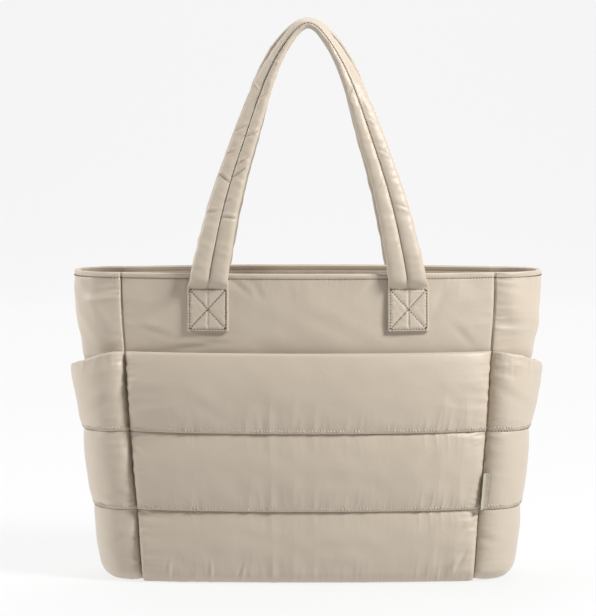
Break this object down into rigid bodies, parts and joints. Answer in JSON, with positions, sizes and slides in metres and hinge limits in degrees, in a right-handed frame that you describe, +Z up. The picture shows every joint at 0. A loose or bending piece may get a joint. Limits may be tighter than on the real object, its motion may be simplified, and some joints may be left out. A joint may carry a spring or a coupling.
{
  "type": "quilted puffer tote bag",
  "caption": "Soft box-shaped tote of padded nylon with a quilted front pocket, open quilted end pockets and two padded shoulder handles.",
  "frame": {"origin": "middle of the base, on the floor it stands on", "axes": "+Z up to the handles, -Y towards the front pocket, +X towards the bag's right-hand end as seen from the front"},
  "size_m": [0.4586, 0.1554, 0.5387],
  "materials": {
    "nylon": "soft satin sheen, taupe",
    "tape": "matte woven tape, grey-beige"
  },
  "bodies": {
    "root": {"front_panel": "nylon", "back_panel": "nylon", "side_panel_right": "nylon", "side_panel_left": "nylon", "base_panel": "nylon", "mouth_facing": "nylon", "front_pocket": "nylon", "side_pocket_right": "nylon", "side_pocket_left": "nylon", "handle_front": "nylon", "handle_back": "nylon", "seam_tag": "tape"}
  },
  "joints": []
}
